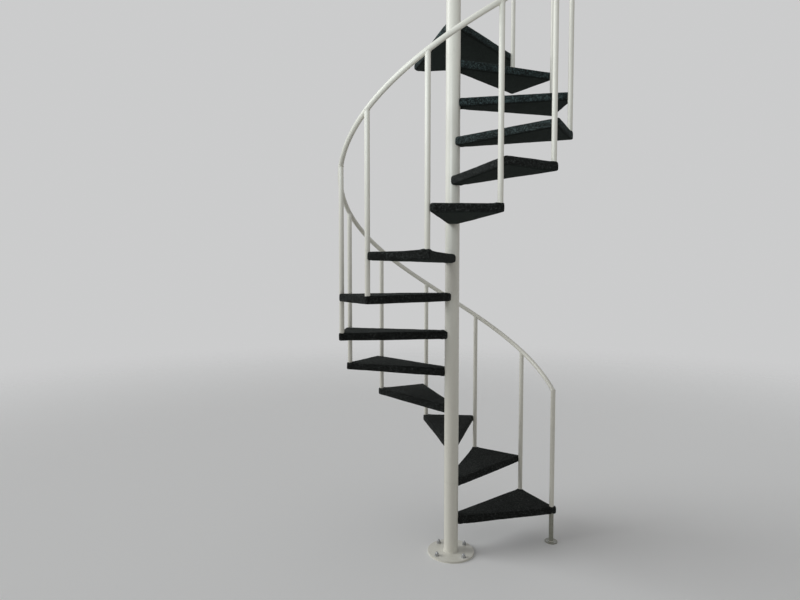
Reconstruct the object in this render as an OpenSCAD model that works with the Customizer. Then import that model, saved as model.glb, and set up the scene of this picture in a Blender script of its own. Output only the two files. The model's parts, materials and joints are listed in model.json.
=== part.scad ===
// Spiral staircase: thirteen carpeted wedge treads and a landing round a steel post,
// with one tube baluster on each tread and a helical tube handrail.
// Origin on the post's axis at floor level, +Z up, the landing's far edge towards +Y.

/* [Stair] */
// Plan radius of the treads' outer corners
stair_r = 606; // [520:1:800]
// Height from one tread top to the next
rise = 202; // [180:1:230]
// Treads below the landing
tread_count = 13; // [8:1:13]
// Turn from one tread to the next, in degrees
step_angle = 30.7; // [26:0.1:32]
// Where the first tread's lower edge points, in degrees from +X
first_angle = 17.7; // [0:0.1:90]

/* [Treads] */
// Thickness of a tread with its carpet at its outer end
tread_t = 40; // [25:1:60]
// Thickness of a tread with its carpet where it meets the post
post_end_t = 46; // [25:1:80]
// Width of a tread where it meets the post
inner_w = 60; // [44:1:66]
// Rounding of the carpet where it turns over the board's edges
edge_r = 8; // [3:0.5:9]
// Joint between a tread's coped end and the post
post_gap = 0.2; // [0.1:0.1:0.5]

/* [Landing] */
// Thickness of the landing with its carpet
landing_t = 42; // [30:1:80]
// Distance from the post's axis to the landing's far edge
landing_back = 625; // [600:1:760]
// Where the landing's far side points, in degrees from +X
landing_side_angle = 114.5; // [100:0.1:130]
// Rounding of the landing's far corners, seen from above
landing_corner_r = 25; // [8:1:40]

/* [Post] */
// Outer diameter of the centre post
post_d = 76.1; // [70:0.1:102]
// Wall of the centre post
post_wall = 3.6; // [2:0.1:6]
// Thickness of the cap over the post
cap_t = 6; // [3:0.5:12]
// How far the cap overhangs the post all round
cap_lip = 2; // [1:0.5:6]
// Length of the cap's plug inside the post
cap_plug = 25; // [10:1:60]

/* [Base plate] */
// Diameter of the base plate
base_d = 250; // [200:1:320]
// Thickness of the base plate
base_t = 10; // [6:1:20]
// Circle on which the anchor holes lie
anchor_pcd = 200; // [150:1:260]
// Diameter of an anchor hole
anchor_d = 13; // [9:0.5:18]
// Anchor holes
anchor_count = 4; // [3:1:8]

/* [Balustrade] */
// Diameter of the balusters and of the handrail
tube_d = 25; // [20:0.5:32]
// Wall of the balusters
tube_wall = 1.5; // [1:0.1:3]
// Carpet left between a baluster's foot and the tread's end
foot_margin = 1.5; // [0.5:0.5:20]
// How far a foot goes down through the carpet to the board
foot_sink = 6; // [2:0.5:9]
// Play round a foot in the carpet
foot_gap = 0.2; // [0.1:0.1:0.5]
// Height of the handrail's axis above each tread, at its baluster
rail_height = 844; // [700:1:1000]
// Play between a baluster and the side of the next tread
side_gap = 0.3; // [0.1:0.1:1]
// Play between a baluster's shaped top and the handrail
cope_gap = 0.5; // [0.2:0.1:1]
// Straight pieces that make up one bay of the handrail
bay_rings = 8; // [4:1:12]
// Sides of the handrail's section
rail_sides = 16; // [8:2:24]
// Diameter of the plate under the first tread's leg
foot_d = 70; // [50:1:100]
// Thickness of the plate under the first tread's leg
foot_t = 5; // [3:0.5:10]

/* [Hidden] */
$fn = 64;
post_r = post_d / 2;
tube_r = tube_d / 2;
half_step = step_angle / 2;
steel = "#e9e6da";
carpet = "#2a2d30";
// Depth of cutting shapes past the face that they cut
over = 1;
// Sides of a rounded corner's full turn, and steps of a rounded edge's quarter turn
corner_sides = 24;
edge_steps = 4;

// A tread's outline in its own frame, centre line along +X
outer_x = stair_r * cos(half_step);
outer_y = stair_r * sin(half_step);
seat_x = sqrt(pow(post_r, 2) - pow(inner_w / 2, 2));
side_angle = atan((outer_y - inner_w / 2) / (outer_x - seat_x));
// Distance from the post's axis to the line of a tread's side
side_c = outer_y * cos(side_angle) - outer_x * sin(side_angle);
inner_x = post_r / 2;
inner_y = (side_c + inner_x * sin(side_angle)) / cos(side_angle);

// A baluster stands in its tread's outer corner and touches the side of the next tread:
// its centre is this far along the tread, and this far from the line of the next one's side
foot_x = outer_x - tube_r - foot_margin;
next_side = (side_c + tube_r + side_gap) / foot_x;
next_angle = step_angle - side_angle;
baluster_angle = atan((sin(next_angle) - next_side) / cos(next_angle));

// The handrail winds above the balusters
rail_r = foot_x / cos(baluster_angle);
rail_slope = atan(rise / (rail_r * step_angle * PI / 180));

// The post ends level with the handrail's upper end
top_z = (tread_count + 1) * rise;
rail_end_z = tread_count * rise + rail_height;
post_top = rail_end_z;

function two(i) = i < 10 ? str("0", i) : str(i);
function tread_name(i) = str("tread_", two(i));
function baluster_name(i) = str("baluster_", two(i));
function rail_name(i) = str("handrail_", two(i));

// Outlines

function unit(v) = v / norm(v);

// Where the middle of a corner's rounding lies, between the neighbours before and after it
function corner_middle(before, corner, after, r) =
  let (
    u = unit(before - corner),
    w = unit(after - corner)
  )
  corner + unit(u + w) * r / sin(acos(u * w) / 2);

// The middles for a whole outline, with a radius for each corner
function corner_middles(points, r) =
  let (last = len(points) - 1)
  [for (i = [0:last])
    corner_middle(points[i == 0 ? last : i - 1], points[i], points[i == last ? 0 : i + 1], r[i])];

tread_outline = [[inner_x, -inner_y], [outer_x, -outer_y], [outer_x, outer_y], [inner_x, inner_y]];

// The landing in the stair's frame: its near side is like a tread's, its far edge meets the floor
landing_start = first_angle + tread_count * step_angle;
function turned(p, a) = [p[0] * cos(a) - p[1] * sin(a), p[0] * sin(a) + p[1] * cos(a)];
near_in = turned([inner_x, -inner_y], landing_start + half_step);
near_out = turned([outer_x, -outer_y], landing_start + half_step);
far_out = [landing_back / tan(landing_side_angle), landing_back];
// The far side leaves the post as a tread's side does
far_in = turned([inner_x, inner_y], landing_side_angle - side_angle);

landing_outline = [near_in, near_out, [near_out[0], landing_back], far_out, far_in];
landing_corners = [edge_r, edge_r, landing_corner_r, landing_corner_r, edge_r];

// Places

function tread_centre(i) = first_angle + (i - 1) * step_angle + half_step;
function tread_top(i) = i * rise;
// The newel is number 0: it stands on the first tread's lower corner
function stand_angle(i) = i == 0
  ? tread_centre(1) - baluster_angle
  : tread_centre(i) + baluster_angle;
function rail_z(a) = rise + rail_height + (a - stand_angle(1)) / step_angle * rise;

// The handrail's centre line, its direction and a ring of its section cut by a plane

function rail_point(a) = [rail_r * cos(a), rail_r * sin(a), rail_z(a)];
function level_way(a) = [-sin(a), cos(a), 0];
function rail_way(a) = cos(rail_slope) * level_way(a) + [0, 0, sin(rail_slope)];
function ring(a, plane) =
  let (
    c = rail_point(a),
    t = rail_way(a),
    n = [cos(a), sin(a), 0],
    b = cross(t, n)
  )
  [for (k = [0:rail_sides - 1])
    let (
      f = 360 * k / rail_sides,
      p = tube_r * (cos(f) * n + sin(f) * b)
    )
    c + p - t * (p * plane) / (t * plane)];

// The plane of the mitre between the newel and the handrail
function mitre_plane(a) = unit(rail_way(a) + [0, 0, 1]);

// Rings of one bay: the first bay starts in the mitre, the last ends just past its baluster
function bay_rings_of(i) =
  let (
    a0 = stand_angle(i - 1),
    a1 = stand_angle(i),
    end = a1 + asin(tube_r / rail_r)
  )
  concat(
    [ring(a0, i == 1 ? mitre_plane(a0) : rail_way(a0))],
    [for (k = [1:bay_rings]) ring(a0 + (a1 - a0) * k / bay_rings, rail_way(a0 + (a1 - a0) * k / bay_rings))],
    i == tread_count ? [ring(end, level_way(end))] : []
  );

module sweep(rings) {
  n = len(rings[0]);
  m = len(rings);
  polyhedron(
    points = [for (r = rings) each r],
    faces = concat(
      [[for (k = [0:n - 1]) k]],
      [for (j = [0:m - 2], k = [0:n - 1])
        each [
          [j * n + k, (j + 1) * n + k, (j + 1) * n + (k + 1) % n],
          [j * n + k, (j + 1) * n + (k + 1) % n, j * n + (k + 1) % n]
        ]],
      [[for (k = [n - 1:-1:0]) (m - 1) * n + k]]
    )
  );
}

// Pieces

module base_plate() {
  color(steel)
    difference() {
      cylinder(d = base_d, h = base_t);
      for (i = [0:anchor_count - 1])
        rotate(360 * (i + 0.5) / anchor_count)
          translate([anchor_pcd / 2, 0, -over])
            cylinder(d = anchor_d, h = base_t + 2 * over);
    }
}

module centre_post() {
  color(steel)
    translate([0, 0, base_t])
      difference() {
        cylinder(r = post_r, h = post_top - base_t);
        translate([0, 0, -over])
          cylinder(r = post_r - post_wall, h = post_top - base_t + 2 * over);
      }
}

module post_cap() {
  plug_r = post_r - post_wall - post_gap;
  color(steel)
    translate([0, 0, post_top])
      rotate_extrude()
        polygon([
          [0, -cap_plug], [plug_r, -cap_plug], [plug_r, 0], [post_r + cap_lip, 0],
          [post_r + cap_lip, cap_t / 2], [post_r + cap_lip - cap_t / 2, cap_t], [0, cap_t]
        ]);
}

module post_cope(z, h) {
  translate([0, 0, z - over])
    cylinder(r = post_r + post_gap, h = h + 2 * over);
}

// A corner of a carpeted board: its section turned about the corner's middle,
// for a thickness and a radius seen from above
module carpet_corner(t, r) {
  flat = r - edge_r;
  rotate_extrude($fn = corner_sides)
    polygon(concat(
      flat > 0 ? [[0, 0]] : [],
      [for (k = [0:edge_steps])
        [flat + edge_r * sin(90 * k / edge_steps), edge_r - edge_r * cos(90 * k / edge_steps)]],
      [for (k = [0:edge_steps])
        [flat + edge_r * cos(90 * k / edge_steps), t - edge_r + edge_r * sin(90 * k / edge_steps)]],
      flat > 0 ? [[0, t]] : []
    ));
}

// A board wrapped in carpet, its top at zero, with a thickness and a radius for each corner
module carpeted(outline, t, r) {
  middles = corner_middles(outline, r);
  hull()
    for (i = [0:len(outline) - 1])
      translate([middles[i][0], middles[i][1], -t[i]])
        carpet_corner(t[i], r[i]);
}

// Room for the foot of stand i, from z upwards
module foot_room(i, z, h) {
  rotate(stand_angle(i))
    translate([rail_r, 0, z])
      cylinder(r = tube_r + foot_gap, h = h);
}

module tread(i) {
  top = tread_top(i);
  under = top - tread_t;
  color(carpet)
    difference() {
      translate([0, 0, top])
        rotate(tread_centre(i))
          carpeted(
            tread_outline,
            [post_end_t, tread_t, tread_t, post_end_t],
            [for (p = tread_outline) edge_r]
          );
      post_cope(top - post_end_t, post_end_t);
      foot_room(i, top - foot_sink, foot_sink + over);
      // The first tread also holds the newel's foot and the head of the leg under it
      if (i == 1) {
        foot_room(0, top - foot_sink, foot_sink + over);
        foot_room(0, under - over, foot_sink + over);
      }
    }
}

module landing() {
  color(carpet)
    difference() {
      translate([0, 0, top_z])
        carpeted(landing_outline, [for (p = landing_outline) landing_t], landing_corners);
      post_cope(top_z - landing_t, landing_t);
    }
}

module tube(h) {
  difference() {
    cylinder(r = tube_r, h = h);
    translate([0, 0, -over])
      cylinder(r = tube_r - tube_wall, h = h + 2 * over);
  }
}

// The handrail's room in a baluster's top
module rail_room(z) {
  length = 4 * tube_d;
  translate([0, 0, z])
    rotate([rail_slope - 90, 0, 0])
      translate([0, 0, -length / 2])
        cylinder(r = tube_r + cope_gap, h = length);
}

module baluster(i) {
  a = stand_angle(i);
  z = tread_top(i) - foot_sink;
  color(steel)
    rotate(a)
      translate([rail_r, 0, 0])
        difference() {
          translate([0, 0, z])
            tube(rail_z(a) - z);
          rail_room(rail_z(a));
        }
}

// The newel's top is cut to the mitre
module newel() {
  a = stand_angle(0);
  z = tread_top(1) - foot_sink;
  color(steel)
    rotate(a)
      translate([rail_r, 0, 0])
        difference() {
          translate([0, 0, z])
            tube(rail_z(a) - z + tube_d);
          translate([0, 0, rail_z(a)])
            rotate([(rail_slope - 90) / 2, 0, 0])
              translate([-tube_d, -tube_d * 2, 0])
                cube([2 * tube_d, 4 * tube_d, 3 * tube_d]);
        }
}

module first_tread_leg() {
  color(steel)
    rotate(stand_angle(0))
      translate([rail_r, 0, 0]) {
        cylinder(d = foot_d, h = foot_t);
        translate([0, 0, foot_t])
          tube(tread_top(1) - tread_t + foot_sink - foot_t);
      }
}

module handrail(i) {
  color(steel)
    sweep(bay_rings_of(i));
}

base_plate();
centre_post();
post_cap();
landing();
first_tread_leg();
newel();
for (i = [1:tread_count]) {
  tread(i);
  baluster(i);
  handrail(i);
}
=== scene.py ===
"""The looks of a tight spiral staircase: carpet-wrapped treads, enamelled tubes and their welds.

The steel and the treads come from the frame. Each operator below dresses one group of them.
"""

import json
import math
import random

import bmesh
import bpy
from bpy.props import (
    FloatProperty,
    FloatVectorProperty,
    IntProperty,
    PointerProperty,
)
from mathutils import Matrix, Vector, noise
from mathutils.bvhtree import BVHTree


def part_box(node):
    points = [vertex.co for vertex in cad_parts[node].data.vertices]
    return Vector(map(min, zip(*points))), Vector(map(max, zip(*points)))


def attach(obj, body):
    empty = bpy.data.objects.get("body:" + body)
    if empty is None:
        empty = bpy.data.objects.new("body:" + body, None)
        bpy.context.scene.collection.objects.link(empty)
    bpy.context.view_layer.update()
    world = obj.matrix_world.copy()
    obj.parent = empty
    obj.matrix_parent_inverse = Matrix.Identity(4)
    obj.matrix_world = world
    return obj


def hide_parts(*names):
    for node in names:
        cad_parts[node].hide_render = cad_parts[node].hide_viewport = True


bl_info = {
    "name": "Spiral Staircase Looks",
    "version": (1, 0, 0),
    "blender": (4, 5, 0),
    "location": "View3D > Sidebar > Staircase",
    "description": "Dresses a spiral staircase in carpet, enamel and welds",
    "category": "Object",
}

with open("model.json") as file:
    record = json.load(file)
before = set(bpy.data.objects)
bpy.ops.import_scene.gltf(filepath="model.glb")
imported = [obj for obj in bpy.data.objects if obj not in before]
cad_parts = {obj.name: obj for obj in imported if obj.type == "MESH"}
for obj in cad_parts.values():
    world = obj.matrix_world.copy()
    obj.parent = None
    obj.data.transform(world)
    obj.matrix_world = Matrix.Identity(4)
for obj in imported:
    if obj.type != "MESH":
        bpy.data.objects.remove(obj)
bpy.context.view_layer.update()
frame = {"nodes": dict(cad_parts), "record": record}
BODY = "root"


# Sizes that the frame holds


def names_of(prefix):
    """The frame's nodes of one kind, in climbing order."""
    return sorted(n for n in frame["nodes"] if n.startswith(prefix))


def middle(node):
    low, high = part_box(node)
    return (low + high) / 2


def half_width(node):
    low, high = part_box(node)
    return (high.x - low.x) / 2


def turn_of(node):
    """Where a node stands round the post, in radians from +X."""
    place = middle(node)
    return math.atan2(place.y, place.x)


TREADS = names_of("tread_")
BALUSTERS = names_of("baluster_")
RAILS = names_of("handrail_")
LEG = "first_tread_leg"
# The upright tubes under the handrail, in climbing order
STANDS = ["newel"] + BALUSTERS

POST_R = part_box("centre_post")[1].x
POST_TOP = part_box("centre_post")[1].z
BASE_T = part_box("base_plate")[1].z
TUBE_R = half_width("newel")
# The leg's plate, whose top is the second level of the leg's points
FOOT_R = half_width(LEG)
FOOT_T = sorted({round(v.co.z, 4) for v in frame["nodes"][LEG].data.vertices})[1]
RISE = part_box(TREADS[1])[1].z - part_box(TREADS[0])[1].z
NEWEL_TURN = turn_of("newel")
FIRST_TURN = turn_of(BALUSTERS[0])
STEP = (turn_of(BALUSTERS[1]) - FIRST_TURN) % math.tau
RAIL_R = middle(BALUSTERS[0]).to_2d().length
RAIL_SLOPE = math.atan(RISE / (RAIL_R * STEP))
# The handrail's axis over the first baluster: a bay's middle lies half a rise above its lower end
FIRST_RAIL_Z = middle(RAILS[1]).z - RISE / 2


def stand_turn(i):
    """The turn of baluster i, counted on past a full turn, where 0 is the newel."""
    return NEWEL_TURN if i == 0 else FIRST_TURN + (i - 1) * STEP


def rail_z(turn):
    return FIRST_RAIL_Z + (turn - FIRST_TURN) / STEP * RISE


def rail_point(turn):
    return Vector((RAIL_R * math.cos(turn), RAIL_R * math.sin(turn), rail_z(turn)))


def rail_way(turn):
    """The handrail's direction as it climbs."""
    level = math.cos(RAIL_SLOPE)
    return Vector((-math.sin(turn) * level, math.cos(turn) * level, math.sin(RAIL_SLOPE)))


# Settings


class CarpetSettings(bpy.types.PropertyGroup):
    """The carpet that wraps the treads and the landing."""

    cell: FloatProperty(
        name="Mesh cell", description="Size of the carpet mesh's cells",
        default=0.0036, min=0.002, max=0.01, subtype="DISTANCE", unit="LENGTH")
    wave: FloatProperty(
        name="Wave", description="How far the carpet lies off flat",
        default=0.0008, min=0.0, max=0.003, subtype="DISTANCE", unit="LENGTH")
    pile: FloatProperty(
        name="Pile", description="Unevenness of the pile",
        default=0.0004, min=0.0, max=0.002, subtype="DISTANCE", unit="LENGTH")
    tuck_reach: FloatProperty(
        name="Tuck at the post",
        description="How far from the post the carpet's edges are drawn round",
        default=0.045, min=0.0, max=0.1, subtype="DISTANCE", unit="LENGTH")
    tuck_swell: FloatProperty(
        name="Swelling at the post", description="How far the tucked carpet swells at the post",
        default=0.0035, min=0.0, max=0.008, subtype="DISTANCE", unit="LENGTH")
    sway: FloatProperty(
        name="Sway", description="How far a tread's faces wander over its length",
        default=0.0016, min=0.0, max=0.005, subtype="DISTANCE", unit="LENGTH")
    foot_bulge: FloatProperty(
        name="Bulge at a foot",
        description="Height of the carpet pushed up round a baluster's foot",
        default=0.0035, min=0.0, max=0.006, subtype="DISTANCE", unit="LENGTH")
    bunching: FloatProperty(
        name="Bunching",
        description="Height of the carpet where it is bunched up most, at one foot",
        default=0.006, min=0.0, max=0.01, subtype="DISTANCE", unit="LENGTH")
    newel_bulge: FloatProperty(
        name="Bulge at the newel",
        description="How far the carpet is pushed out past the newel's foot",
        default=0.012, min=0.0, max=0.02, subtype="DISTANCE", unit="LENGTH")
    seam: FloatProperty(
        name="Seam", description="Depth of the seam round the underside",
        default=0.0024, min=0.0, max=0.004, subtype="DISTANCE", unit="LENGTH")
    turn_under: FloatProperty(
        name="Turned under", description="How far the wrapping is turned under before the seam",
        default=0.010, min=0.004, max=0.04, subtype="DISTANCE", unit="LENGTH")
    loop: FloatProperty(
        name="Loop", description="Width of one loop of the pile",
        default=0.0036, min=0.001, max=0.01, subtype="DISTANCE", unit="LENGTH")
    fleck: FloatProperty(
        name="Fleck", description="Spacing of the clumps of light loops",
        default=0.0075, min=0.003, max=0.03, subtype="DISTANCE", unit="LENGTH")
    # Painted light on the topmost treads' sides: how much their light loops are lightened, from
    # what height, and in what colour
    painted_daylight_gain: FloatProperty(
        name="Fading",
        description="How much the light loops of the topmost treads' sides have faded",
        default=1.7, min=0.0, max=4.0)
    painted_daylight_from: FloatProperty(
        name="Faded from", description="Height from which the sides have faded",
        default=2.16, min=0.0, max=4.0, subtype="DISTANCE", unit="LENGTH")
    painted_daylight_band: FloatProperty(
        name="Fading sets in", description="Height on either side over which the fading sets in",
        default=0.12, min=0.01, max=1.0, subtype="DISTANCE", unit="LENGTH")
    dark: FloatVectorProperty(
        name="Dark pile", description="Colour of most loops",
        default=(0.0130, 0.0138, 0.0128), size=3, subtype="COLOR", min=0, max=1)
    light: FloatVectorProperty(
        name="Light pile", description="Colour of the lightest loops",
        default=(0.110, 0.124, 0.120), size=3, subtype="COLOR", min=0, max=1)
    # Painted light: the blue-green of daylight on the topmost treads' sides
    painted_daylight: FloatVectorProperty(
        name="Faded pile", description="Colour of the lightest loops where the sides have faded",
        default=(0.092, 0.136, 0.138), size=3, subtype="COLOR", min=0, max=1)
    # Painted shade down between the loops and in the seam's groove
    gap: FloatVectorProperty(
        name="Gaps", description="Colour down between the loops",
        default=(0.0030, 0.0031, 0.0029), size=3, subtype="COLOR", min=0, max=1)
    # Flatter carpet on the undersides, lightened and tinted teal by painted bounce light
    underside_painted_bounce: FloatVectorProperty(
        name="Underside", description="Colour of the flatter carpet on the undersides",
        default=(0.0325, 0.0485, 0.0440), size=3, subtype="COLOR", min=0, max=1)
    # Dust on the tops, which also serves as painted light falling on them from above
    dust: FloatVectorProperty(
        name="Dust", description="Colour of the dust trodden into the tops",
        default=(0.070, 0.069, 0.062), size=3, subtype="COLOR", min=0, max=1)
    lint: FloatVectorProperty(
        name="Lint", description="Colour of lint caught in the pile",
        default=(0.22, 0.23, 0.22), size=3, subtype="COLOR", min=0, max=1)


class EnamelSettings(bpy.types.PropertyGroup):
    """The paint, the welds and the fixings of the steelwork."""

    colour: FloatVectorProperty(
        name="Enamel", description="Off-white enamel",
        default=(0.80, 0.786, 0.708), size=3, subtype="COLOR", min=0, max=1)
    undercoat: FloatVectorProperty(
        name="Undercoat", description="Older, warmer paint that shows in streaks",
        default=(0.76, 0.738, 0.645), size=3, subtype="COLOR", min=0, max=1)
    grime: FloatVectorProperty(
        name="Grime", description="Where hands and dust have dulled the enamel",
        default=(0.58, 0.565, 0.49), size=3, subtype="COLOR", min=0, max=1)
    # Painted shade: the dark colour of the leg standing in the shade under the first tread
    painted_leg_shade: FloatVectorProperty(
        name="Scuffs",
        description="Colour of the leg under the first tread, darkened by shoes and mops",
        default=(0.27, 0.27, 0.225), size=3, subtype="COLOR", min=0, max=1)
    zinc: FloatVectorProperty(
        name="Zinc", description="Colour of the anchors and screws",
        default=(0.52, 0.53, 0.54), size=3, subtype="COLOR", min=0, max=1)
    tarnish: FloatVectorProperty(
        name="Tarnish", description="Colour of the zinc where it has dulled",
        default=(0.30, 0.29, 0.27), size=3, subtype="COLOR", min=0, max=1)
    bead: FloatProperty(
        name="Weld bead", description="Radius of the bead round a baluster's head",
        default=0.0019, min=0.001, max=0.005, subtype="DISTANCE", unit="LENGTH")
    mitre_bead: FloatProperty(
        name="Mitre bead", description="Radius of the ground bead round the newel's mitre",
        default=0.0008, min=0.0003, max=0.005, subtype="DISTANCE", unit="LENGTH")
    base_bead: FloatProperty(
        name="Base bead", description="Radius of the bead round the post's foot",
        default=0.0045, min=0.002, max=0.008, subtype="DISTANCE", unit="LENGTH")
    bolt: FloatProperty(
        name="Anchor bolt", description="Diameter of an anchor bolt",
        default=0.012, min=0.006, max=0.02, subtype="DISTANCE", unit="LENGTH")
    screw: FloatProperty(
        name="Screw head", description="Diameter of a foot plate screw's head",
        default=0.0095, min=0.005, max=0.02, subtype="DISTANCE", unit="LENGTH")
    screws: IntProperty(
        name="Screws", description="Screws in the leg's foot plate", default=3, min=2, max=6)
    sides: IntProperty(
        name="Sides", description="Sides of the handrail's section", default=40, min=16, max=96)


class StageSettings(bpy.types.PropertyGroup):
    """The camera, the floor and the lamps."""

    eye: FloatVectorProperty(
        name="Eye", description="Where the camera stands",
        default=(0.127, -2.990, 1.533), size=3, subtype="TRANSLATION", unit="LENGTH")
    heading: FloatProperty(
        name="Heading", description="The camera's turn to the right of +Y",
        default=math.radians(-7.74), subtype="ANGLE", unit="ROTATION")
    tilt: FloatProperty(
        name="Tilt", description="How far the camera looks up",
        default=math.radians(-3.06), subtype="ANGLE", unit="ROTATION")
    focal: FloatProperty(
        name="Focal length", description="Focal length in picture widths",
        default=561.0 / 800.0, min=0.2, max=5.0)
    floor: FloatVectorProperty(
        name="Floor", description="Colour of the floor",
        default=(0.92, 0.92, 0.915), size=3, subtype="COLOR", min=0, max=1)
    floor_reach: FloatProperty(
        name="Floor reach",
        description="How far from the post the floor has faded into the backdrop",
        default=9.0, min=4.0, max=30.0, subtype="DISTANCE", unit="LENGTH")
    backdrop: FloatVectorProperty(
        name="Backdrop", description="Colour of the backdrop",
        default=(0.60, 0.603, 0.606), size=3, subtype="COLOR", min=0, max=1)
    bounce: FloatVectorProperty(
        name="Bounce", description="Colour that the floor throws back on the stair",
        default=(0.62, 0.61, 0.58), size=3, subtype="COLOR", min=0, max=1)
    fill: FloatProperty(
        name="Fill", description="Even light from all round, at eye level", default=0.42,
        min=0.0, max=2.0)
    fill_above: FloatProperty(
        name="Fill above", description="Even light from straight above", default=0.26,
        min=0.0, max=2.0)
    key: FloatProperty(
        name="Key", description="Strength of the soft light from the left", default=1.35,
        min=0.0, max=10.0)
    key_place: FloatVectorProperty(
        name="Key's place", description="Where the light from the left comes from",
        default=(-5.0, -0.6, 2.9), size=3, subtype="TRANSLATION", unit="LENGTH")
    key_softness: FloatProperty(
        name="Key's softness", description="Apparent width of the light from the left",
        default=math.radians(38), subtype="ANGLE", unit="ROTATION")
    key_colour: FloatVectorProperty(
        name="Key's colour", description="Colour of the light from the left",
        default=(0.97, 0.99, 1.0), size=3, subtype="COLOR", min=0, max=1)
    top_light: FloatProperty(
        name="Top light", description="Power of the soft light on the upper treads", default=165.0,
        min=0.0, max=2000.0, subtype="POWER")
    top_place: FloatVectorProperty(
        name="Top light's place", description="Where the light on the upper treads hangs",
        default=(-1.4, -3.0, 2.8), size=3, subtype="TRANSLATION", unit="LENGTH")
    top_aim: FloatVectorProperty(
        name="Top light's aim", description="Where the light on the upper treads points",
        default=(0.1, 0.0, POST_TOP * 0.78), size=3, subtype="TRANSLATION", unit="LENGTH")
    top_spread: FloatProperty(
        name="Top light's spread", description="Width of the light on the upper treads",
        default=math.radians(56), subtype="ANGLE", unit="ROTATION")
    top_size: FloatProperty(
        name="Top light's size", description="Radius of the lamp over the upper treads",
        default=0.5, min=0.0, max=3.0, subtype="DISTANCE", unit="LENGTH")
    top_colour: FloatVectorProperty(
        name="Top light's colour", description="Colour of the light on the upper treads",
        default=(0.86, 0.95, 1.0), size=3, subtype="COLOR", min=0, max=1)


def carpet_settings():
    return bpy.context.scene.stair_carpet


def enamel_settings():
    return bpy.context.scene.stair_enamel


def stage_settings():
    return bpy.context.scene.stair_stage


# Shader maths


class Nodes:
    """The node tree of a material or a world, under construction."""

    def __init__(self, owner):
        owner.use_nodes = True
        self.tree = owner.node_tree
        self.tree.nodes.clear()

    def add(self, kind, inputs, settings=None):
        """A new node: its settings first, then its inputs' values or links, by name or by place."""
        made = self.tree.nodes.new(kind)
        for key, value in (settings or {}).items():
            setattr(made, key, value)
        for key, value in inputs.items():
            slot = made.inputs[key]
            if isinstance(value, Sock):
                self.tree.links.new(value.out, slot)
            elif slot.type == "RGBA":
                slot.default_value = (*value, 1.0)
            else:
                slot.default_value = value
        return made

    def node(self, kind, output, inputs=None, settings=None):
        """An output of a new node."""
        return Sock(self, self.add(kind, inputs or {}, settings).outputs[output])


class Sock:
    """A node's output with Python's operators, so that shader maths reads as maths."""

    def __init__(self, nodes, out):
        self.nodes = nodes
        self.out = out

    def math(self, operation, *values):
        """A Math node on Socks and numbers."""
        return self.nodes.node(
            "ShaderNodeMath", 0, dict(enumerate(values)), {"operation": operation})

    def __add__(self, other):
        return self.math("ADD", self, other)

    __radd__ = __add__

    def __mul__(self, other):
        return self.math("MULTIPLY", self, other)

    __rmul__ = __mul__

    def __sub__(self, other):
        return self.math("SUBTRACT", self, other)

    def __rsub__(self, other):
        return self.math("SUBTRACT", other, self)

    def twin(self, output):
        """Another output of the same node."""
        return Sock(self.nodes, self.out.node.outputs[output])

    def between(self, low, high):
        """0 below low, 1 above high, smooth between."""
        return self.nodes.node(
            "ShaderNodeMapRange", "Result", {"Value": self, "From Min": low, "From Max": high},
            {"interpolation_type": "SMOOTHSTEP"})


class Finish(Nodes):
    """One material under construction."""

    def __init__(self, name):
        self.material = bpy.data.materials.new(name)
        super().__init__(self.material)

    def place(self):
        return self.node("ShaderNodeTexCoord", "Object")

    def stirred(self, scale, amount):
        """The place, pushed about by noise so that a pattern on it wanders."""
        push = self.node(
            "ShaderNodeTexNoise", "Color", {"Vector": self.place(), "Scale": scale, "Detail": 1.0})
        return self.node(
            "ShaderNodeVectorMath", 0, {0: push, 1: (amount,) * 3, 2: self.place()},
            {"operation": "MULTIPLY_ADD"})

    def grain(self, scale, detail=2.0, roughness=0.5, place=None):
        return self.node(
            "ShaderNodeTexNoise", "Fac",
            {"Vector": place or self.place(), "Scale": scale, "Detail": detail,
             "Roughness": roughness})

    def cells(self, scale, output="Distance", place=None):
        return self.node(
            "ShaderNodeTexVoronoi", output, {"Vector": place or self.place(), "Scale": scale})

    def blend(self, amount, first, second):
        """A mix of two colours, which are inputs 6 and 7 of the Mix node."""
        return self.node(
            "ShaderNodeMix", 2, {"Factor": amount, 6: first, 7: second}, {"data_type": "RGBA"})

    def split(self, vector, axis):
        return self.node("ShaderNodeSeparateXYZ", axis, {"Vector": vector})

    def bump(self, height, distance, strength=1.0):
        return self.node(
            "ShaderNodeBump", 0, {"Height": height, "Distance": distance, "Strength": strength})

    def set(self, **inputs):
        """The finished material, with these inputs of its shader set or linked."""
        values = {key.replace("_", " "): value for key, value in inputs.items()}
        surface = self.node("ShaderNodeBsdfPrincipled", 0, values)
        self.add("ShaderNodeOutputMaterial", {"Surface": surface})
        return self.material


# Finishes


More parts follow.
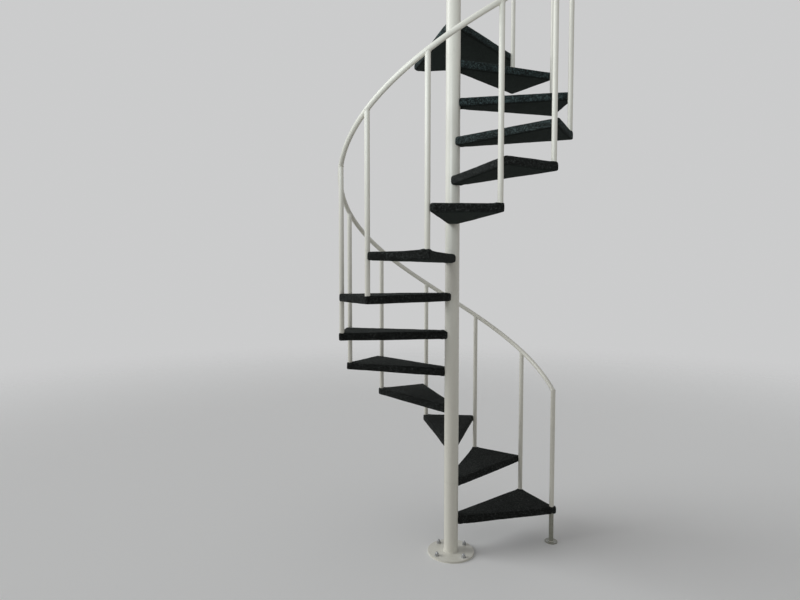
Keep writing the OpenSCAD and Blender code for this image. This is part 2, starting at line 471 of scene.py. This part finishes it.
def carpet_finish():
    """Short loops of charcoal yarn of mixed shades, with painted shade between the loops, dust with
    painted top light on top, a flatter underside with painted bounce light, and painted daylight on
    the topmost treads' sides.
    """
    look = carpet_settings()
    f = Finish("charcoal_carpet")
    yarn = f.stirred(160.0, 0.004)
    loop = f.cells(1.0 / look.loop, place=yarn)
    shade = f.split(loop.twin("Color"), "X")
    fibre = f.grain(1100.0, roughness=0.7)
    mottle = f.grain(140.0, detail=3.0, roughness=0.6)
    brushed = f.grain(9.0).between(0.35, 0.65)
    facing = f.split(f.node("ShaderNodeNewGeometry", "Normal"), "Z")
    # Most loops are near the dark yarn, some far lighter, and now and then a few of those together
    clump = f.split(f.cells(1.0 / look.fleck, "Color", yarn), "Z").between(0.76, 0.92)
    tips = shade.between(0.1, 1.0) * 0.24 + shade.between(0.80, 0.97) * 0.30 + clump * 0.24
    tips = tips * (0.45 + mottle.between(0.38, 0.62) * 0.75) + fibre.between(0.45, 0.75) * 0.05
    tips = tips * (0.80 + brushed * 0.40)
    # Painted light: the sides of the topmost treads are lightened and tinted blue-green, standing
    # in for daylight falling on them from above
    height = f.split(f.place(), "Z")
    high_up = height.between(look.painted_daylight_from - look.painted_daylight_band, look.painted_daylight_from + look.painted_daylight_band)
    painted_daylight = high_up * (1.0 - (facing * facing).between(0.10, 0.80))
    tips = tips * (1.0 + painted_daylight * look.painted_daylight_gain)
    colour = f.blend(tips, look.dark, f.blend(painted_daylight, look.light, look.painted_daylight))
    # Dust lies only on what faces up, most where the pile is brushed; it also serves as painted
    # light falling on the tops
    dust_and_top_light = facing.between(0.55, 0.95) * (0.02 + brushed * 0.08)
    colour = f.blend(dust_and_top_light * (0.5 + mottle), colour, look.dust)
    # The undersides: flatter carpet, with painted bounce light lightening and tinting it
    colour = f.blend((facing * -1.0).between(0.6, 0.95) * 0.65, colour, look.underside_painted_bounce)
    # Painted shade: each loop is darker down its sides
    tip = 1.0 - loop.between(0.25, 0.90)
    colour = f.blend(tip * 0.75 + 0.25, look.gap, colour)
    # Lint: the few wide cells whose own random value is high, near their middles
    specks = f.cells(120.0)
    chosen = f.split(specks.twin("Color"), "Y").between(0.955, 0.985)
    colour = f.blend((1.0 - specks.between(0.08, 0.20)) * chosen * 0.7, colour, look.lint)
    # Painted shade in the seam's groove, in the crevice colour
    seam = f.node("ShaderNodeAttribute", "Fac", None, {"attribute_name": "seam"})
    colour = f.blend(seam * 0.85, colour, look.gap)
    relief = (1.0 - loop * loop) * 0.9 + fibre * 0.22 + mottle * 0.4
    return f.set(
        Base_Color=colour,
        Roughness=0.95,
        Specular_IOR_Level=0.06,
        Sheen_Weight=0.06,
        Sheen_Roughness=0.45,
        Sheen_Tint=(0.55, 0.62, 0.60),
        Normal=f.bump(relief, 0.0022),
    )


def enamel_finish(name="off_white_enamel", leg_shade_amount=0.0):
    """Brushed-on gloss enamel: faint orange peel, dulled here and there by hands and dust, and
    darkened by painted shade where asked.
    """
    look = enamel_settings()
    f = Finish(name)
    peel = f.grain(260.0)
    # Brush strokes run along the tubes, so their pattern is drawn out in height
    drawn_out = f.node(
        "ShaderNodeMapping", "Vector", {"Vector": f.place(), "Scale": (1.0, 1.0, 0.12)},
        {"vector_type": "POINT"})
    strokes = f.grain(140.0, detail=3.0, roughness=0.65, place=drawn_out)
    cloudy = f.grain(6.0, detail=3.0)
    fine = f.grain(55.0, detail=4.0, roughness=0.7)
    dulled = cloudy.between(0.48, 0.74) * fine.between(0.40, 0.66)
    # Thin coats let the older, warmer paint through in streaks
    thin = strokes.between(0.50, 0.78) * cloudy.between(0.35, 0.60)
    colour = f.blend(thin * 0.30, look.colour, look.undercoat)
    colour = f.blend(dulled * 0.35, colour, look.grime)
    # Painted shade, with a little random mottle, for a piece that stands in shade
    if leg_shade_amount:
        colour = f.blend(fine.between(0.30, 0.60) * 0.15 + leg_shade_amount, colour, look.painted_leg_shade)
    return f.set(
        Base_Color=colour,
        Roughness=0.33 + dulled * 0.16 + strokes * 0.06,
        Specular_IOR_Level=0.5,
        Coat_Weight=0.15,
        Coat_Roughness=0.24,
        Normal=f.bump(peel * 0.5 + strokes * 0.5, 0.00022, 0.55),
    )


def painted_shade_finish():
    """The same enamel, darkened by painted shade for the leg in the shade under the first tread."""
    return enamel_finish("painted_shade_enamel", 0.80)


def zinc_finish():
    """Dull zinc on the anchors and screws."""
    look = enamel_settings()
    f = Finish("dull_zinc")
    spangle = f.cells(900.0)
    stain = f.grain(220.0, detail=4.0, roughness=0.7)
    return f.set(
        Base_Color=f.blend(stain.between(0.45, 0.75), look.zinc, look.tarnish),
        Metallic=0.95,
        Roughness=0.34 + spangle * 0.18 + stain * 0.10,
        Normal=f.bump(stain, 0.00015, 0.5),
    )


def floor_finish():
    """A plain floor that fades into the backdrop far from the stair."""
    look = stage_settings()
    f = Finish("pale_floor")
    away = f.node("ShaderNodeVectorMath", "Value", {"Vector": f.place()}, {"operation": "LENGTH"})
    seen = f.node("ShaderNodeLightPath", "Is Camera Ray")
    return f.set(
        Base_Color=f.blend(seen, look.bounce, look.floor),
        Roughness=0.85,
        Specular_IOR_Level=0.2,
        Alpha=1.0 - away.between(0.35 * look.floor_reach, look.floor_reach),
    )


def finish(name):
    """A finished material, made the first time that it is asked for."""
    makers = {
        "charcoal_carpet": carpet_finish,
        "off_white_enamel": enamel_finish,
        "painted_shade_enamel": painted_shade_finish,
        "dull_zinc": zinc_finish,
        "pale_floor": floor_finish,
    }
    return bpy.data.materials.get(name) or makers[name]()


# Making pieces

# Points closer than this are one point
MERGE = 1e-5


def recalculate(bm):
    bmesh.ops.recalc_face_normals(bm, faces=bm.faces)


def mesh_from(name, bm):
    """A mesh from a bmesh, which is used up."""
    mesh = bpy.data.meshes.new(name)
    bm.to_mesh(mesh)
    bm.free()
    return mesh


def coat(mesh, name):
    """Gives a mesh one finish."""
    mesh.materials.clear()
    mesh.materials.append(finish(name))


def show(name, mesh, finish_name, smooth=True):
    """An object that shows a mesh in one finish."""
    piece = bpy.data.objects.new(name, mesh)
    bpy.context.scene.collection.objects.link(piece)
    coat(mesh, finish_name)
    for face in mesh.polygons:
        face.use_smooth = smooth
    return piece


def new_steel(name, bm, finish_name, smooth=True):
    """A piece of steel from a bmesh, facing outwards and riding on the stair."""
    recalculate(bm)
    piece = show(name, mesh_from(name, bm), finish_name, smooth)
    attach(piece, BODY)
    return piece


def edges_within(verts):
    """The edges whose both ends are among the points, each of them once."""
    among = set(verts)
    near = dict.fromkeys(edge for v in verts for edge in v.link_edges)
    return [edge for edge in near if all(v in among for v in edge.verts)]


def round_off(bm, edges, size, segments):
    """Rounds edges with a bevel of this size."""
    bmesh.ops.bevel(
        bm, geom=edges, offset=size, offset_type="OFFSET", affect="EDGES", segments=segments,
        profile=0.5, material=-1, clamp_overlap=True)


def look_along(point, way):
    """A frame at a point with its Z along way and its Y near upright."""
    z = way.normalized()
    x = Vector((0, 0, 1)).cross(z).normalized()
    y = z.cross(x)
    return Matrix.Translation(point) @ Matrix((x, y, z)).transposed().to_4x4()


# Carpet

# The tread whose carpet is bunched up at its foot, and the one whose end is softest
BUNCHED = TREADS[7]
SOFTEST = TREADS[9]
# How soft the carpet's end at the post is: from least to most, and at the softest tread
SOFTNESS = (0.6, 1.3)
MOST_SOFTNESS = 1.9
CARPET_SEED = 7
# More than any tube's end goes into its tread
SOCKET = 0.011
# A plug is wider than its socket and stops short of the tread's face
PLUG_LAP = 0.0006
FOOT_PLUG_SHORT = 0.0003
HEAD_PLUG_SHORT = 0.0035
# Rounds of relaxing: all over, in shrinking zones at the post, and at the landing's worn corner
RELAX_ALL = 2
RELAX_TUCK = 7
TUCK_ZONES = (1.0, 0.75, 0.5, 0.3)
RELAX_CORNER = 16
CORNER_ZONES = (0.060, 0.050, 0.040, 0.030)
# The most that a side's normal rises or falls, and the z under which a normal is the underside's
LEANING = 0.3
UNDERSIDE = -0.5
# How often the noise that moves the carpet varies in a metre
WAVES, RIPPLES, SWAYS, TUFTS = 14.0, 45.0, 4.0, 260.0
SEAM_BENDS, RIDGE_LUMPS = 9.0, 40.0
SWAY_SHIFT = Vector((0, 0, 9.0))
# The ripples' height and the carpet's sinking, as parts of its waves' height
RIPPLE_PART = 0.5
SINK_PART = 0.3
# The swelling is full this near the post, and gone at this part of the tuck's reach
SWELL_FULL = 0.004
SWELL_END = 0.7
# The seam round the underside
SEAM_WANDER = 0.0012
SEAM_WIDTH = 0.0030
# The ridge round a foot, the sides' push away from it, and the reach of both
RIDGE_OFF = 0.004
RIDGE_WIDTH = 0.014
RIDGE_MEAN, RIDGE_SWING = 0.75, 0.5
PUSH = 0.0015
PUSH_FULL = 0.002
PUSH_END = 0.03
FOOT_REACH = 0.04
BUNCH_WIDTH = 0.09
# Room that the carpet keeps from the tubes that pass it and from the post
TUBE_ROOM = 0.0004
POST_ROOM = 0.0002


def axis_of(node):
    """The place of an upright tube, at the height of the floor."""
    return middle(node).xy.to_3d()


def feet_on(level):
    """The tubes whose feet go into a tread with this top."""
    return [n for n in STANDS if 0.0 <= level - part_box(n)[0].z < SOCKET]


def heads_in(level):
    """The tubes whose heads go into a tread with this underside."""
    return [n for n in [LEG] if 0.0 <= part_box(n)[1].z - level < SOCKET]


def tubes_past(low, high):
    """The tubes that pass a tread's side."""
    return [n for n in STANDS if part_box(n)[0].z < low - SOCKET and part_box(n)[1].z > high]


def close_socket(bm, tube, level):
    """A plug that closes the socket of a tube, so that the carpet runs up to the tube."""
    radius = TUBE_R + PLUG_LAP
    spot = Matrix.Translation(axis_of(tube) + Vector((0, 0, level)))
    bmesh.ops.create_cone(
        bm, cap_ends=True, segments=24, radius1=radius, radius2=radius, depth=SOCKET, matrix=spot)


def carpet_shell(node, look):
    """The node's solid with its sockets closed, as an even mesh."""
    low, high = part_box(node)
    bm = bmesh.new()
    bm.from_mesh(frame["nodes"][node].data)
    bmesh.ops.remove_doubles(bm, verts=bm.verts, dist=MERGE)
    for tube in feet_on(high.z):
        close_socket(bm, tube, high.z - SOCKET / 2 - FOOT_PLUG_SHORT)
    for tube in heads_in(low.z):
        close_socket(bm, tube, low.z + SOCKET / 2 + HEAD_PLUG_SHORT)
    bmesh.ops.triangulate(bm, faces=bm.faces)
    shell = bpy.data.objects.new(node + "_shell", mesh_from(node + "_shell", bm))
    bpy.context.scene.collection.objects.link(shell)
    even = shell.modifiers.new("even", "REMESH")
    even.mode = "VOXEL"
    even.voxel_size = look.cell
    even.use_smooth_shade = True
    bpy.context.view_layer.update()
    ready = bpy.data.meshes.new_from_object(
        shell.evaluated_get(bpy.context.evaluated_depsgraph_get()))
    bpy.data.objects.remove(shell)
    return ready


def side_walls(node):
    """The node's upright faces, to measure how far in from them a point of the underside lies."""
    bm = bmesh.new()
    bm.from_mesh(frame["nodes"][node].data)
    bm.normal_update()
    flat = [face for face in bm.faces if abs(face.normal.z) > LEANING]
    bmesh.ops.delete(bm, geom=flat, context="FACES")
    walls = BVHTree.FromBMesh(bm)
    bm.free()
    return walls


def relax(bm, verts, times):
    """Draws points towards their neighbours, which rounds the edges between them."""
    for _ in range(times):
        bmesh.ops.smooth_vert(
            bm, verts=verts, factor=0.5, use_axis_x=True, use_axis_y=True, use_axis_z=True)


def soften(bm, node, look, softness):
    """Rounds the shell all over, and more near the post."""
    relax(bm, bm.verts, RELAX_ALL)
    for part in TUCK_ZONES:
        reach = POST_R + part * look.tuck_reach
        zone = [v for v in bm.verts if v.co.xy.length < reach]
        relax(bm, zone, int(round(RELAX_TUCK * softness)))
    if node == "landing":
        # The far left corner has worn round, above all along its bottom
        low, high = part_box(node)
        corner = Vector((low.x, high.y, low.z))
        for reach in CORNER_ZONES:
            relax(bm, [v for v in bm.verts if (v.co - corner).length < reach], RELAX_CORNER)
    bm.normal_update()


def fade(value, near, far):
    """1 up to near, 0 past far, smooth between."""
    t = min(max((value - near) / (far - near), 0.0), 1.0)
    return 1.0 - t * t * (3.0 - 2.0 * t)


def bell(distance, width):
    """1 at no distance, falling smoothly to next to nothing at twice the width."""
    return math.exp(-(distance / width) ** 2)


def off_flat(at, look, softness):
    """How far out the carpet lies at a point: its waves, its pile and its swelling at the post."""
    wave = noise.noise(at * WAVES) * look.wave
    wave += noise.noise(at * RIPPLES) * look.wave * RIPPLE_PART
    wave += noise.noise(at * SWAYS + SWAY_SHIFT) * look.sway
    tuft = noise.noise(at * TUFTS) * look.pile
    near_post = fade(at.xy.length - POST_R, SWELL_FULL, SWELL_END * look.tuck_reach)
    return wave + tuft + near_post * look.tuck_swell * softness - look.wave * SINK_PART


def seam_at(v, level, walls, look):
    """How far a point is in the seam: a little way in from the edge, where the wrapping ends."""
    if v.normal.z >= UNDERSIDE:
        return 0.0
    inset = walls.find_nearest(Vector((v.co.x, v.co.y, level)))[3]
    line = look.turn_under + SEAM_WANDER * noise.noise(v.co * SEAM_BENDS)
    return bell(inset - line, SEAM_WIDTH)


def add_foot_mark(move, v, foot, push, ahead, look):
    """Adds to a point's move the ridge that a foot raises and the sides' push away from it."""
    off = (v.co - foot).xy.length - TUBE_R
    if off >= FOOT_REACH:
        return
    if v.normal.z > LEANING:
        lumps = RIDGE_MEAN + RIDGE_SWING * noise.noise(v.co * RIDGE_LUMPS)
        move.z += look.foot_bulge * bell(off - RIDGE_OFF, RIDGE_WIDTH) * lumps
    # Where a way ahead is given, the sides are pushed out only on the feet's far sides
    beyond = 1.0
    if ahead is not None:
        beyond = max(0.0, (v.co - foot).xy.to_3d().normalized().dot(ahead))
    level = Vector((v.normal.x, v.normal.y, 0))
    move += level * push * fade(off, PUSH_FULL, PUSH_END) * beyond


def keep_out(v, axis, radius):
    """Moves a point out of an upright tube."""
    away = (v.co - axis).xy.to_3d()
    if away.length < radius:
        v.co += away.normalized() * (radius - away.length)


def lay_carpet(mesh, node, look, softness):
    """Turns a shell into carpet by moving its points, and keeps where its seam is."""
    low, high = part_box(node)
    walls = side_walls(node)
    tubes = feet_on(high.z)
    feet = [(axis_of(n), look.newel_bulge if n == "newel" else PUSH) for n in tubes]
    past = [axis_of(n) for n in tubes_past(low.z, high.z)]
    bm = bmesh.new()
    bm.from_mesh(mesh)
    soften(bm, node, look, softness)
    centre = sum((v.co for v in bm.verts), Vector()) / len(bm.verts)
    ahead = centre.xy.to_3d().normalized() if "newel" in tubes else None
    seams = [seam_at(v, (low.z + high.z) / 2, walls, look) for v in bm.verts]
    moves = []
    for v, seam in zip(bm.verts, seams):
        move = v.normal * (off_flat(v.co, look, softness) - look.seam * seam)
        if node == BUNCHED and v.normal.z > LEANING:
            move.z += look.bunching * bell((v.co - feet[0][0]).xy.length, BUNCH_WIDTH)
        for foot, push in feet:
            add_foot_mark(move, v, foot, push, ahead, look)
        moves.append(move)
    for v, move in zip(bm.verts, moves):
        v.co += move
        for axis in past:
            keep_out(v, axis, TUBE_R + TUBE_ROOM)
        keep_out(v, Vector(), POST_R + POST_ROOM)
    bm.to_mesh(mesh)
    bm.free()
    mesh.attributes.new("seam", "FLOAT", "POINT").data.foreach_set("value", seams)


class STAIR_OT_carpets(bpy.types.Operator):
    """Wrap each tread and the landing in carpet"""

    bl_idname = "stair.carpets"
    bl_label = "Carpets"

    def execute(self, context):
        look = carpet_settings()
        chance = random.Random(CARPET_SEED)
        for node in TREADS + ["landing"]:
            softness = MOST_SOFTNESS if node == SOFTEST else chance.uniform(*SOFTNESS)
            mesh = carpet_shell(node, look)
            lay_carpet(mesh, node, look, softness)
            piece = show("carpet_" + node, mesh, "charcoal_carpet")
            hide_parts(node)
            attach(piece, BODY)
        return {"FINISHED"}


# Steelwork

# The handrail turns by about this much from ring to ring
SPIN_STEP = math.radians(2.0)
END_ROUNDING = 0.002
# Points round the welds of a baluster's head, the mitre, the post's foot and the leg's foot
HEAD_POINTS, MITRE_POINTS, POST_POINTS, LEG_POINTS = 96, 60, 150, 90
# A bead swells by this part at every third point
RIPPLE = 0.13
RIPPLE_POINTS = 3.0
# How far the cusps of a saddle are rounded, as a part of the tube's radius
CUSP = 0.22
# The turns of the anchors' nuts
NUT_SEED = 3


def on_plane(ring, way, plane, through):
    """Slides a ring's points along way onto a plane."""
    for v in ring:
        v.co -= way * ((v.co - through).dot(plane) / way.dot(plane))


class STAIR_OT_handrail(bpy.types.Operator):
    """Bend the handrail as one smooth tube"""

    bl_idname = "stair.handrail"
    bl_label = "Handrail"

    def execute(self, context):
        start = stand_turn(0)
        # The rail ends flush with the far side of the last baluster
        end = stand_turn(len(BALUSTERS)) + math.asin(TUBE_R / RAIL_R)
        steps = int(round((end - start) / SPIN_STEP))
        bm = bmesh.new()
        # The first ring stands square to the rail over the newel, and then slides onto the mitre
        ring = bmesh.ops.create_circle(
            bm, segments=enamel_settings().sides, radius=TUBE_R,
            matrix=look_along(rail_point(start), rail_way(start)))["verts"]
        spun = bmesh.ops.spin(
            bm, geom=ring + edges_within(ring), cent=(0, 0, 0), axis=(0, 0, 1),
            dvec=(0, 0, (rail_z(end) - rail_z(start)) / steps),
            angle=end - start, steps=steps, use_merge=False)
        far = [g for g in spun["geom_last"] if isinstance(g, bmesh.types.BMVert)]
        mitre = (rail_way(start) + Vector((0, 0, 1))).normalized()
        on_plane(ring, rail_way(start), mitre, rail_point(start))
        level = Vector((-math.sin(end), math.cos(end), 0))
        on_plane(far, rail_way(end), level, rail_point(end))
        for loop in (ring, far):
            bmesh.ops.contextual_create(bm, geom=loop)
        recalculate(bm)
        for edge in edges_within(ring):
            edge.smooth = False
        round_off(bm, edges_within(far), END_ROUNDING, 3)
        piece = new_steel("handrail_tube", bm, "off_white_enamel")
        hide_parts(*RAILS)
        return {"FINISHED"}


def bead(bm, points, radius, sides=8):
    """A closed weld bead through the points, with the ripple that the torch leaves."""
    frames = []
    for k, point in enumerate(points):
        way = points[(k + 1) % len(points)] - points[k - 1]
        ripple = 1.0 + RIPPLE * math.cos(math.tau * k / RIPPLE_POINTS)
        frames.append(look_along(point, way) @ Matrix.Scale(ripple, 4))
    ring = bmesh.ops.create_circle(bm, segments=sides, radius=radius, matrix=frames[0])["verts"]
    first = edges = edges_within(ring)
    for before, here in zip(frames, frames[1:]):
        made = bmesh.ops.extrude_edge_only(bm, edges=edges)["geom"]
        ring = [g for g in made if isinstance(g, bmesh.types.BMVert)]
        edges = edges_within(ring)
        bmesh.ops.transform(bm, verts=ring, matrix=here @ before.inverted())
    bmesh.ops.bridge_loops(bm, edges=first + edges)


def ring_points(centre, radius, count, rise=lambda turn: 0.0):
    """Points round an upright tube, lifted by a rise of the turn."""
    turns = [math.tau * k / count for k in range(count)]
    return [centre + Vector((radius * math.cos(t), radius * math.sin(t), rise(t))) for t in turns]


def saddle_points(turn):
    """Where a baluster's outside meets the handrail's underside."""
    slope = math.sin(RAIL_SLOPE)

    def rise(way):
        # Measured from the uphill side, with the two cusps rounded
        up = math.sin(way - turn)
        return TUBE_R * (up * slope - math.hypot(up, CUSP)) / math.cos(RAIL_SLOPE)

    return ring_points(rail_point(turn), TUBE_R, HEAD_POINTS, rise)


def mitre_points(turn):
    """Round the joint of the newel and the handrail."""
    slope = math.cos(RAIL_SLOPE) / (1.0 + math.sin(RAIL_SLOPE))
    return ring_points(
        rail_point(turn), TUBE_R, MITRE_POINTS, lambda way: -TUBE_R * math.sin(way - turn) * slope)


class STAIR_OT_welds(bpy.types.Operator):
    """Weld the balusters to the handrail and the post and leg to their plates"""

    bl_idname = "stair.welds"
    bl_label = "Welds"

    def execute(self, context):
        look = enamel_settings()
        bm = bmesh.new()
        for i in range(1, len(STANDS)):
            bead(bm, saddle_points(stand_turn(i)), look.bead)
        new_steel("baluster_welds", bm, "off_white_enamel")

        bm = bmesh.new()
        bead(bm, mitre_points(NEWEL_TURN), look.mitre_bead)
        new_steel("newel_mitre_weld", bm, "off_white_enamel")

        bm = bmesh.new()
        post_foot = Vector((0, 0, BASE_T))
        bead(bm, ring_points(post_foot, POST_R, POST_POINTS), look.base_bead, sides=10)
        leg_foot = Vector((*middle(LEG).xy, FOOT_T))
        bead(bm, ring_points(leg_foot, TUBE_R, LEG_POINTS), look.bead)
        new_steel("plate_welds", bm, "off_white_enamel")
        return {"FINISHED"}


def turned(bm, profile, spot, steps):
    """A solid turned about its own Z from a profile of radius and height, both ends on the axis."""
    before = set(bm.verts)
    verts = [bm.verts.new((r, 0, z)) for r, z in profile]
    edges = [bm.edges.new(pair) for pair in zip(verts, verts[1:])]
    bmesh.ops.spin(
        bm, geom=verts + edges, cent=(0, 0, 0), axis=(0, 0, 1), dvec=(0, 0, 0),
        angle=math.tau, steps=steps, use_merge=True)
    bmesh.ops.remove_doubles(bm, verts=[v for v in bm.verts if v not in before], dist=MERGE)
    bmesh.ops.transform(bm, verts=[v for v in bm.verts if v not in before], matrix=spot)


def anchor(bm, spot, size, chance):
    """A threaded stud with its nut and washer, in the usual proportions to its diameter."""
    r = size / 2
    washer, nut, stud, pitch = size * 0.2, size * 0.83, size * 1.9, size * 0.146
    turned(bm, [(0, 0), (r * 2.0, 0), (r * 2.0, washer), (0, washer)], spot, 40)
    corner = r * 1.83
    tightened = Matrix.Rotation(chance.uniform(0, math.tau), 4, "Z")
    hexagon = bmesh.ops.create_cone(
        bm, cap_ends=True, segments=6, radius1=corner, radius2=corner, depth=nut,
        matrix=spot @ Matrix.Translation((0, 0, washer + nut / 2)) @ tightened)["verts"]
    round_off(bm, edges_within(hexagon), size * 0.06, 2)
    # The thread starts inside the nut and ends in a short taper
    root = r * 0.86
    foot = washer + nut - pitch
    turns = int((stud - washer - nut) / pitch)
    thread = [(0, 0)]
    for k in range(turns):
        thread += [(root, foot + k * pitch), (r, foot + (k + 0.5) * pitch)]
    top = foot + turns * pitch
    thread += [(root, top), (r * 0.80, top + pitch), (0, top + pitch * 1.3)]
    turned(bm, thread, spot, 28)


def pan_screw(bm, spot, size):
    """A round head with a recess."""
    r, high = size / 2, size * 0.34
    dome = [(r * math.cos(t), high * math.sin(t)) for t in (0.0, 0.25, 0.5, 0.8, 1.1)]
    recess = [(r * 0.30, high * 0.93), (r * 0.18, high * 0.35), (0, high * 0.25)]
    turned(bm, [(0, 0)] + dome + recess, spot, 24)


def spots_round(x, y, z, reach, count, start=0.0):
    """Places evenly spaced round a centre, the first of them half a space past the start."""
    turns = [start + math.tau * (k + 0.5) / count for k in range(count)]
    return [Matrix.Translation((x + reach * math.cos(t), y + reach * math.sin(t), z))
            for t in turns]


class STAIR_OT_fixings(bpy.types.Operator):
    """Fix the base plate with anchors and the leg's plate with screws"""

    bl_idname = "stair.fixings"
    bl_label = "Fixings"

    def execute(self, context):
        look = enamel_settings()
        chance = random.Random(NUT_SEED)
        holes = next(m for m in frame["record"]["mounts"] if m["name"] == "anchor_holes")["dims"]
        # Half of a circle's diameter in millimetres, in metres
        circle_r = holes["pcd_mm"] / 2000.0
        bm = bmesh.new()
        for spot in spots_round(0, 0, BASE_T, circle_r, holes["count"]):
            anchor(bm, spot, look.bolt, chance)
        new_steel("anchor_bolts", bm, "dull_zinc", smooth=False)

        bm = bmesh.new()
        leg = middle(LEG)
        screws_r = (FOOT_R + TUBE_R) / 2
        for spot in spots_round(leg.x, leg.y, FOOT_T, screws_r, look.screws, NEWEL_TURN):
            pan_screw(bm, spot, look.screw)
        new_steel("foot_screws", bm, "dull_zinc")
        return {"FINISHED"}


class STAIR_OT_paint(bpy.types.Operator):
    """Paint the post, the leg, the newel and the balusters"""

    bl_idname = "stair.paint"
    bl_label = "Paint"

    def execute(self, context):
        for node in ["centre_post", "post_cap", "base_plate"] + STANDS:
            coat(frame["nodes"][node].data, "off_white_enamel")
        # The leg under the first tread gets painted shade
        coat(frame["nodes"][LEG].data, "painted_shade_enamel")
        return {"FINISHED"}


# The stage

SENSOR = 36.0
VIEW_END = 200.0
FLOOR_R = 40.0


def stand_camera(look):
    data = bpy.data.cameras.new("camera")
    data.sensor_width = SENSOR
    data.lens = SENSOR * look.focal
    data.clip_end = VIEW_END
    camera = bpy.data.objects.new("camera", data)
    camera.location = look.eye
    camera.rotation_euler = (math.pi / 2 + look.tilt, 0.0, -look.heading)
    bpy.context.scene.collection.objects.link(camera)
    bpy.context.scene.camera = camera


def lay_floor():
    bm = bmesh.new()
    bmesh.ops.create_circle(bm, cap_ends=True, segments=96, radius=FLOOR_R)
    floor = show("floor", mesh_from("floor", bm), "pale_floor", smooth=False)


def lamp(name, kind, place, target, **settings):
    """A lamp at a place, turned to a target."""
    data = bpy.data.lights.new(name, kind)
    for key, value in settings.items():
        setattr(data, key, value)
    made = bpy.data.objects.new(name, data)
    made.location = place
    made.rotation_euler = (Vector(target) - Vector(place)).to_track_quat("-Z", "Y").to_euler()
    made.visible_camera = False
    bpy.context.scene.collection.objects.link(made)


def light_all_round(look):
    """Even light from all round, and a plain backdrop for the camera and for reflections."""
    world = bpy.data.worlds.new("studio")
    bpy.context.scene.world = world
    sky = Nodes(world)
    way = sky.node("ShaderNodeTexCoord", "Generated")
    above = sky.node("ShaderNodeSeparateXYZ", "Z", {"Vector": way}).between(0.0, 0.9)
    light = sky.node(
        "ShaderNodeBackground", 0,
        {"Color": (1.0, 1.0, 1.0), "Strength": above * (look.fill_above - look.fill) + look.fill})
    backdrop = sky.node("ShaderNodeBackground", 0, {"Color": look.backdrop, "Strength": 1.0})
    seen = sky.node("ShaderNodeLightPath", "Is Camera Ray")
    glossy, through = seen.twin("Is Glossy Ray"), seen.twin("Is Transmission Ray")
    seen = seen.math("MAXIMUM", seen.math("MAXIMUM", seen, glossy), through)
    shown = sky.node("ShaderNodeMixShader", 0, {"Fac": seen, 1: light, 2: backdrop})
    sky.add("ShaderNodeOutputWorld", {"Surface": shown})


class STAIR_OT_stage(bpy.types.Operator):
    """Set up the camera, the floor and the lamps"""

    bl_idname = "stair.stage"
    bl_label = "Stage"

    def execute(self, context):
        look = stage_settings()
        stand_camera(look)
        lay_floor()
        lamp("key_light", "SUN", look.key_place, (0, 0, 0), energy=look.key,
             angle=look.key_softness, color=look.key_colour)
        lamp("top_light", "SPOT", look.top_place, look.top_aim, energy=look.top_light,
             spot_size=look.top_spread, spot_blend=1.0, shadow_soft_size=look.top_size,
             color=look.top_colour)
        light_all_round(look)
        context.scene.view_settings.view_transform = "Standard"
        return {"FINISHED"}


class STAIR_PT_panel(bpy.types.Panel):
    """The staircase's looks"""

    bl_idname = "STAIR_PT_panel"
    bl_label = "Staircase"
    bl_space_type = "VIEW_3D"
    bl_region_type = "UI"
    bl_category = "Staircase"

    def draw(self, context):
        for group, cls in GROUPS.items():
            box = self.layout.box()
            for name in cls.__annotations__:
                box.prop(getattr(context.scene, group), name)
        for operator in OPERATORS:
            self.layout.operator(operator.bl_idname)


OPERATORS = (
    STAIR_OT_stage, STAIR_OT_carpets, STAIR_OT_handrail, STAIR_OT_welds, STAIR_OT_fixings,
    STAIR_OT_paint,
)
GROUPS = {
    "stair_carpet": CarpetSettings,
    "stair_enamel": EnamelSettings,
    "stair_stage": StageSettings,
}
CLASSES = (*GROUPS.values(), *OPERATORS, STAIR_PT_panel)


def register():
    for cls in CLASSES:
        bpy.utils.register_class(cls)
    for name, cls in GROUPS.items():
        setattr(bpy.types.Scene, name, PointerProperty(type=cls))


def unregister():
    for name in GROUPS:
        delattr(bpy.types.Scene, name)
    for cls in reversed(CLASSES):
        bpy.utils.unregister_class(cls)


def main():
    register()
    bpy.ops.stair.stage()
    bpy.ops.stair.carpets()
    bpy.ops.stair.handrail()
    bpy.ops.stair.welds()
    bpy.ops.stair.fixings()
    bpy.ops.stair.paint()


if __name__ == "__main__":
    main()
